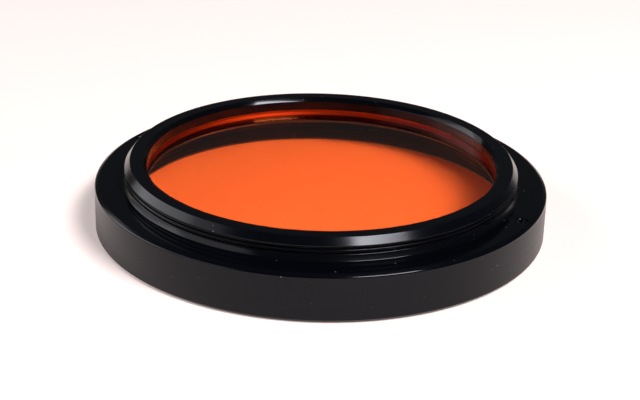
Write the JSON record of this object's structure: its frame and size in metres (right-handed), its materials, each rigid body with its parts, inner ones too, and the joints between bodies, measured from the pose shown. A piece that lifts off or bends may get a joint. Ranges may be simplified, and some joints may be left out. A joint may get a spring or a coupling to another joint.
{
  "type": "underwater camera filter",
  "caption": "Screw-in orange correction filter in a broad black anodised ring, with a male lens thread behind and a female thread in front.",
  "frame": {"origin": "on the ring's axis, in the plane of the front face that the filter rests on", "axes": "+Z along the axis towards the lens side, where the male thread is; +X to the right and -Y towards the viewer in the picture"},
  "size_m": [0.0772, 0.0772, 0.0118],
  "materials": {
    "black_anodised_aluminium": "satin black anodised, turned",
    "orange_glass": "polished, dyed orange right through",
    "black_anodised_ring": "satin black anodised, turned"
  },
  "bodies": {
    "root": {"filter_ring": "black_anodised_aluminium", "filter_disc": "orange_glass", "retaining_ring": "black_anodised_ring"}
  },
  "joints": []
}
